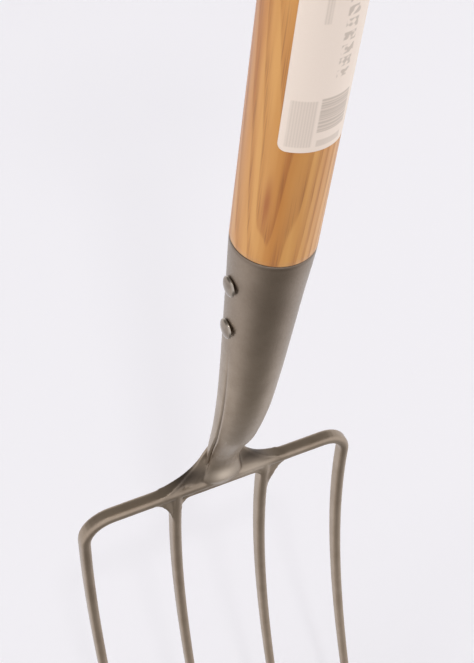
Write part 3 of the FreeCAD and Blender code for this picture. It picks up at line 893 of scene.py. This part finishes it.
def half_ring(side, centre_x, z, lean, radius, depth_share=1.0):
    """The half disc of one arm: its round side from front to back, then its flat side forward."""
    across = Vector((1, 0, -lean)).normalized()
    points = []
    for step in range(HALF_STEPS + 1):
        turn = math.pi * (step / HALF_STEPS - 0.5)
        points.append((radius * math.cos(turn), radius * math.sin(turn)))
    for step in range(1, FLAT_STEPS):
        points.append((0.0, radius * (1 - 2 * step / FLAT_STEPS)))
    ring = []
    for u, v in points:
        point = Vector((centre_x, 0, z)) + across * u + Vector((0, v * depth_share, 0))
        ring.append(Vector((side * point.x, point.y, point.z)))
    return ring


print("split is", round((STRAIGHT_Z - SPLIT_Z) / MM), "mm long")

# %% [markdown]
# Each half ring climbs its arm on a smooth S, and its corners are eased a little more at each step, as
# a maker rounds them with a spokeshave. At the grip the arm is straight, and its top is rounded over.

# %% Arms
def arm_rings(side):
    """One arm, from the split to its rounded top, swinging out on a smooth S."""
    rings = []
    for t in np.linspace(0, 1, 45)[1:]:
        rise = STRAIGHT_Z - SPLIT_Z
        swing, lean = t * t * (3 - 2 * t), GRIP_HALF_LENGTH * 6 * t * (1 - t) / rise
        radius = SHAFT_RADIUS + (ARM_RADIUS - SHAFT_RADIUS) * t
        ring = half_ring(side, GRIP_HALF_LENGTH * swing, SPLIT_Z + rise * t, lean, radius)
        rings.append(eased(ring, int(round(EASINGS * min(1, t * 5)))))
    top_centre = ARM_TOP_Z - ARM_RADIUS
    for z in np.linspace(STRAIGHT_Z, top_centre, 12)[1:]:
        rings.append(eased(half_ring(side, GRIP_HALF_LENGTH, z, 0, ARM_RADIUS), EASINGS))
    for turn in np.radians([12, 24, 36, 48, 58, 67, 75, 81]):
        loss = TURNED_IN * (1 - math.cos(turn))
        ring = half_ring(side, GRIP_HALF_LENGTH, top_centre + ARM_RADIUS * math.sin(turn), 0,
                         ARM_RADIUS * (1 - loss), math.cos(turn))
        shift = Vector((side * ARM_RADIUS * loss / 2, 0, 0))
        rings.append([point + shift for point in eased(ring, EASINGS)])
    return rings


# %% [markdown]
# The round part ends in a tongue that goes down into the socket. Its faces can't be one plain loft,
# since a ring of 96 points has to become two of 72, so the split is joined by hand: 23 new points lie
# across the shaft, and both half rings use them.

# %% Shaft mesh
def circle(radius, z, steps=2 * HALF_STEPS):
    """A ring that starts at the front and runs round by the right side."""
    return [Vector((radius * math.cos(turn), radius * math.sin(turn), z))
            for turn in (2 * math.pi * i / steps - math.pi / 2 for i in range(steps))]


def shaft_mesh():
    tongue = SHAFT_RADIUS - 2.4 * MM            # 0.2 mm inside the socket's wall
    ease = 0.3 * MM
    rings = [circle(tongue, RIM_Z - HIDDEN_DEPTH * MM), circle(tongue, RIM_Z + 0.1 * MM),
             circle(SHAFT_RADIUS - ease, RIM_Z + 0.1 * MM), circle(SHAFT_RADIUS, RIM_Z + 2 * ease)]
    rings += [circle(SHAFT_RADIUS, z) for z in np.linspace(RIM_Z + 4 * MM, SPLIT_Z, 90)]
    verts, faces = loft(rings, capped=False)
    around = 2 * HALF_STEPS
    faces.append(tuple(range(around - 1, -1, -1)))
    last = len(verts) - around
    saddle = len(verts)
    verts += [Vector((0, SHAFT_RADIUS * (1 - 2 * i / FLAT_STEPS), SPLIT_Z))
              for i in range(1, FLAT_STEPS)]
    across = list(range(saddle, saddle + FLAT_STEPS - 1))
    right = [last + i for i in range(HALF_STEPS + 1)] + across
    left = [last + (-i) % around for i in range(HALF_STEPS + 1)] + across
    for side, ring in ((1, right), (-1, left)):
        for points in arm_rings(side):
            start = len(verts)
            verts += points
            above = list(range(start, start + len(points)))
            faces += [(ring[i], ring[(i + 1) % len(ring)], above[(i + 1) % len(ring)], above[i])
                      for i in range(len(ring))]
            ring = above
        faces.append(tuple(ring))
    return verts, faces


# %% [markdown]
# Each washer sits in a shallow round seat, cut square to the rod, so its whole face bears on the
# curved arm. The cutter is a plain disc, turned on the lathe that also makes the grip, the pins and
# the washers.

# %% Make the shaft
SEAT_CLEARANCE, SEAT_REACH = 0.15 * MM, 8 * MM
WASHERS = ("grip_washer_left", "grip_washer_right", "crotch_washer_left", "crotch_washer_right")


def lathe(profile, centre, steps=72, looped=False):
    """Rings round an axis along X through centre, one for each (x, radius) of the profile."""
    rings = []
    for x, radius in profile:
        rings.append([centre + Vector((x, radius * math.cos(turn), radius * math.sin(turn)))
                      for turn in (2 * math.pi * i / steps for i in range(steps))])
    verts, faces = loft(rings + rings[:1] if looped else rings, capped=not looped)
    if looped:
        first_again = len(rings) * steps
        verts = verts[:first_again]
        faces = [tuple(i % first_again for i in face) for face in faces]
    return verts, faces


def make_shaft():
    shaft = new_object("ash_shaft", *shaft_mesh())
    for node in WASHERS:
        low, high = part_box(node)
        side = 1 if low.x > 0 else -1
        face, radius = min(abs(low.x), abs(high.x)), (high.z - low.z) / 2 + SEAT_CLEARANCE
        profile = [(side * face, radius), (side * (face + SEAT_REACH), radius)]
        cutter = new_object("seat_cutter", *lathe(profile, Vector((0, 0, (low.z + high.z) / 2))))
        seat = shaft.modifiers.new(node, "BOOLEAN")
        seat.object, seat.operation, seat.solver = cutter, "DIFFERENCE", "EXACT"
        apply_modifiers(shaft)
        bpy.data.objects.remove(cutter)
    finish_piece(shaft, ASH, "shaft")


make_shaft()

# %% [markdown]
# ## The turned grip
# The grip is turned on a lathe from the same wood, fullest in the middle, with its ends brought down
# to meet the flats of the arms. Its grain runs along it, so it has a wood material of its own.

# %% Make the grip
GRIP_RADIUS, GRIP_END_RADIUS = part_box("hand_grip")[1].z, 14.5 * MM
END_LENGTH, END_DROP = 0.8 * MM, 1.2 * MM       # the chamfer of each end


def make_grip():
    end = GRIP_HALF_LENGTH - 0.1 * MM
    profile = []
    for share in np.linspace(-1, 1, 61):
        fall = max(0.0, (abs(share) - 0.5) / 0.5) ** 2
        radius = GRIP_RADIUS - (GRIP_RADIUS - GRIP_END_RADIUS) * fall
        profile.append((share * (end - END_LENGTH), radius))
    foot = GRIP_END_RADIUS - END_DROP
    profile = [(-end, foot), *profile, (end, foot)]
    grip = new_object("turned_grip", *lathe(profile, Vector((0, 0, 0)), steps=96))
    finish_piece(grip, ASH_GRIP, "hand_grip")


make_grip()

# %% [markdown]
# ## Rivets, rod and washers
# A rivet's head is a low dome on a short straight edge, and it stands a hair off the surface on one
# side because the socket is round. The rod through the grip and the rivet under the split have the
# same heads, set down on washers. Washers get eased edges, which catch a thin line of light.

# %% Make the metal fittings
PIN_CHAMFER = 0.3 * MM
STRAIGHT_SHARE = 0.3            # how much of a head's height is its straight edge
WASHER_BORE, WASHER_EASE = 3.1 * MM, 0.35 * MM


def headed_end(half_length, shank_radius, head_radius, height):
    """(x, radius) from the shank out to the tip, for one domed end of a pin."""
    dome = half_length + STRAIGHT_SHARE * height
    rise = (1 - STRAIGHT_SHARE) * height
    head = [(half_length, shank_radius), (half_length, head_radius - PIN_CHAMFER),
            (half_length + PIN_CHAMFER, head_radius), (dome, head_radius)]
    for turn in np.radians([20, 38, 54, 68, 80, 87]):
        head.append((dome + rise * math.sin(turn), head_radius * math.cos(turn)))
    return head


def make_pin(node, name, shank_radius, head_height, tail=None):
    """tail is the right end's (radius, height), if that end differs from the left one."""
    low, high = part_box(node)
    half_length, head_radius = -low.x - head_height, (high.z - low.z) / 2
    tail_radius, tail_height = tail or (head_radius, head_height)
    left = headed_end(half_length, shank_radius, head_radius, head_height)
    right = headed_end(half_length, shank_radius, tail_radius, tail_height)
    profile = [(-x, radius) for x, radius in reversed(left)] + right
    pin = new_object(name, *lathe(profile, Vector((0, 0, (low.z + high.z) / 2))))
    finish_piece(pin, RIVET_STEEL, node)


def make_washer(node):
    low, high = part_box(node)
    radius, bore, ease = (high.z - low.z) / 2, WASHER_BORE, WASHER_EASE
    profile = [(low.x + ease, bore), (low.x, bore + ease),
               (low.x, radius - ease), (low.x + ease, radius),
               (high.x - ease, radius), (high.x, radius - ease),
               (high.x, bore + ease), (high.x - ease, bore)]
    centre = Vector((0, 0, (low.z + high.z) / 2))
    washer = new_object(node + "_eased", *lathe(profile, centre, looped=True))
    finish_piece(washer, RIVET_STEEL, node)


for node in ("socket_rivet_upper", "socket_rivet_lower"):
    make_pin(node, node + "_domed", shank_radius=2.8 * MM, head_height=2.3 * MM,
             tail=(4.2 * MM, 1.3 * MM))
make_pin("grip_rod", "riveted_grip_rod", shank_radius=3.0 * MM, head_height=2.4 * MM)
make_pin("crotch_rivet", "domed_crotch_rivet", shank_radius=2.5 * MM, head_height=2.1 * MM)
for node in WASHERS:
    make_washer(node)

# %% [markdown]
# ## The label
# The label is a grid of rows wrapped round the front of the shaft. Rows near its ends are shorter,
# which rounds its corners. Each point's UV is its place on the flat label in millimetres.

# %% Make the label
LABEL_HALF_WIDTH = SHAFT_RADIUS * math.radians(46.5)
LABEL_CORNER = 3.6 * MM
LABEL_RADIUS = SHAFT_RADIUS + 0.22 * MM
PAPER_THICKNESS = 0.15 * MM
COLUMNS = 33                    # points across a row


def label_levels(height):
    """Heights of the rows over the label's foot, close together at its rounded corners."""
    near = LABEL_CORNER * (1 - np.cos(np.radians(np.linspace(0, 90, 9))))
    middle = np.linspace(LABEL_CORNER, height - LABEL_CORNER, 60)[1:-1]
    return [*near, *middle, *(height - near[::-1])]


def grid_faces(columns, rows):
    """Faces between the points of a grid that is listed row by row."""
    corners = (0, 1, columns + 1, columns)
    return [tuple(row * columns + column + corner for corner in corners)
            for row in range(rows - 1) for column in range(columns - 1)]


def make_label():
    low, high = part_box("label")
    height = high.z - low.z
    levels = label_levels(height)
    verts, uvs = [], []
    for level in levels:
        from_end = min(level, height - level, LABEL_CORNER)
        narrow = LABEL_CORNER - math.sqrt(LABEL_CORNER ** 2 - (LABEL_CORNER - from_end) ** 2)
        for share in np.linspace(-1, 1, COLUMNS):
            u = share * (LABEL_HALF_WIDTH - narrow)
            turn = u / SHAFT_RADIUS
            verts.append(Vector((LABEL_RADIUS * math.sin(turn), -LABEL_RADIUS * math.cos(turn),
                                 low.z + level)))
            uvs.append((u / MM, level / MM))
    label = new_object("label_sticker", verts, grid_faces(COLUMNS, len(levels)))
    layer = label.data.uv_layers.new(name="millimetres")
    for loop in label.data.loops:
        layer.data[loop.index].uv = uvs[loop.vertex_index]
    thick = label.modifiers.new("paper", "SOLIDIFY")
    thick.thickness, thick.offset = PAPER_THICKNESS, -1.0
    apply_modifiers(label)
    finish_piece(label, PAPER, "label")
    print("label", round(2 * LABEL_HALF_WIDTH / MM, 1), "by", round(height / MM, 1), "mm")


make_label()

# %% [markdown]
# ## Floor
# The fork is held upright over a sheet of pale studio paper, with its tips just clear of it. The sheet
# fills the camera's view, takes soft shadows and sends light back up. It is hidden from reflections:
# the camera looks down steeply, so an upright metal face shows what lies below the horizon, and a
# white floor there would leave the socket without its dark middle.

# %% Floor
FLOOR_REACH = 6.0
FLOOR_GAP = 0.2 * MM
FLOOR_LINES = 9


def make_floor():
    steps = np.linspace(-FLOOR_REACH, FLOOR_REACH, FLOOR_LINES)
    verts = [Vector((x, y, TIP_Z - FLOOR_GAP)) for y in steps for x in steps]
    floor = new_object("studio_floor", verts, grid_faces(FLOOR_LINES, FLOOR_LINES))
    material, _, shader = new_material("pale_studio_paper")
    shader.inputs["Base Color"].default_value = srgb("#f9f8fb")
    shader.inputs["Roughness"].default_value = 0.9
    shader.inputs["Specular IOR Level"].default_value = 0.1
    floor.data.materials.append(material)
    floor.visible_glossy = False
    print("floor", 2 * FLOOR_REACH, "m wide,", len(floor.data.polygons), "faces")


make_floor()

# %% [markdown]
# ## Light
# A studio with pale walls all round lights a tool softly from every side. The walls show in the metal
# as bright edges, and three darker parts of the room as the grey of its middle: one low in front,
# one high behind and one at the back on the left. They fade in smoothly, so that no reflection has a
# hard edge.

# %% Walls of the room
def direction(azimuth, elevation):
    """Unit vector towards a place round the fork: azimuth 0 is its front, and 90 its right side."""
    a, e = math.radians(azimuth), math.radians(elevation)
    return Vector((math.sin(a) * math.cos(e), -math.cos(a) * math.cos(e), math.sin(e)))


DARK_SIDES = [                  # (towards, cosine where the shade starts, cosine where it is full)
    (direction(-8, -46), 0.60, 0.995),
    (direction(150, 66), 0.45, 0.90),
    (direction(-135, 28), 0.70, 0.97)]


def make_world():
    world = bpy.data.worlds.new("pale_studio")
    world.use_nodes = True
    tree = world.node_tree
    way = add_node(tree, "ShaderNodeTexCoord").outputs["Generated"]
    walls = srgb("#f4f3f8")
    for towards, start, full in DARK_SIDES:
        near = add_node(tree, "ShaderNodeVectorMath", {0: way, 1: towards}, operation="DOT_PRODUCT")
        shade = add_node(tree, "ShaderNodeMapRange", {
            "Value": near.outputs["Value"], "From Min": start, "From Max": full},
            interpolation_type="SMOOTHSTEP")
        walls = add_node(tree, "ShaderNodeMix", {
            "Factor": shade.outputs[0], 6: walls, 7: srgb("#878482")}, data_type="RGBA").outputs[2]
    background = tree.nodes["Background"]
    tree.links.new(walls, background.inputs["Color"])
    background.inputs["Strength"].default_value = 1.06
    bpy.context.scene.world = world


make_world()
print(len(DARK_SIDES), "dark sides in a pale room")

# %% [markdown]
# Two soft boxes, left and right, model the wood. They are hidden from reflections too, or they would
# burn out the elbows. Only one small lamp above shows in the metal, as its highlights.

# %% Lamps
LIT_POINT = Vector((0, 0, RIM_Z - 0.1))


def make_lamp(name, towards, distance, size, power, shines_in_metal=False):
    """A square lamp of a size in metres and a power in watts, that faces the fork."""
    lamp = bpy.data.lights.new(name, "AREA")
    lamp.size, lamp.energy = size, power
    obj = bpy.data.objects.new(name, lamp)
    obj.location = LIT_POINT + towards * distance
    obj.rotation_mode = "QUATERNION"
    obj.rotation_quaternion = towards.to_track_quat("Z", "Y")
    obj.visible_glossy = shines_in_metal
    bpy.context.collection.objects.link(obj)
    print(name, power, "W")


make_lamp("soft_box_left", direction(-105, 35), distance=5.0, size=3.5, power=86)
make_lamp("soft_box_right", direction(90, 35), distance=5.0, size=3.5, power=84)
make_lamp("small_lamp_above", direction(-18, 66), distance=2.0, size=0.15, power=3,
          shines_in_metal=True)
bpy.context.scene.view_settings.view_transform = "Standard"

# %% [markdown]
# ## Camera
# The camera stands half a metre from the socket, on its left, and looks down on it. That is close
# for a tool of this length, so the shaft swells towards the lens and the tines shrink away from it.

# %% Camera
AIM = Vector((-8.6 * MM, 5.4 * MM, RIM_Z - 68.9 * MM))
CAMERA_AZIMUTH, CAMERA_ELEVATION, CAMERA_ROLL = -32.1077, 49.7, 8.06    # degrees
CAMERA_DISTANCE = 535.6 * MM
LENS, SENSOR = 59.2, 36.0                       # mm


def make_camera():
    camera = bpy.data.objects.new("camera", bpy.data.cameras.new("camera"))
    camera.data.lens, camera.data.sensor_width = LENS, SENSOR
    camera.data.clip_start = 0.01
    back = direction(CAMERA_AZIMUTH, CAMERA_ELEVATION)
    camera.location = AIM + back * CAMERA_DISTANCE
    camera.rotation_mode = "QUATERNION"
    roll = Quaternion((0, 0, 1), math.radians(CAMERA_ROLL))
    camera.rotation_quaternion = back.to_track_quat("Z", "Y") @ roll
    bpy.context.collection.objects.link(camera)
    bpy.context.scene.camera = camera
    print("camera at", [round(c / MM) for c in camera.location], "mm")


make_camera()
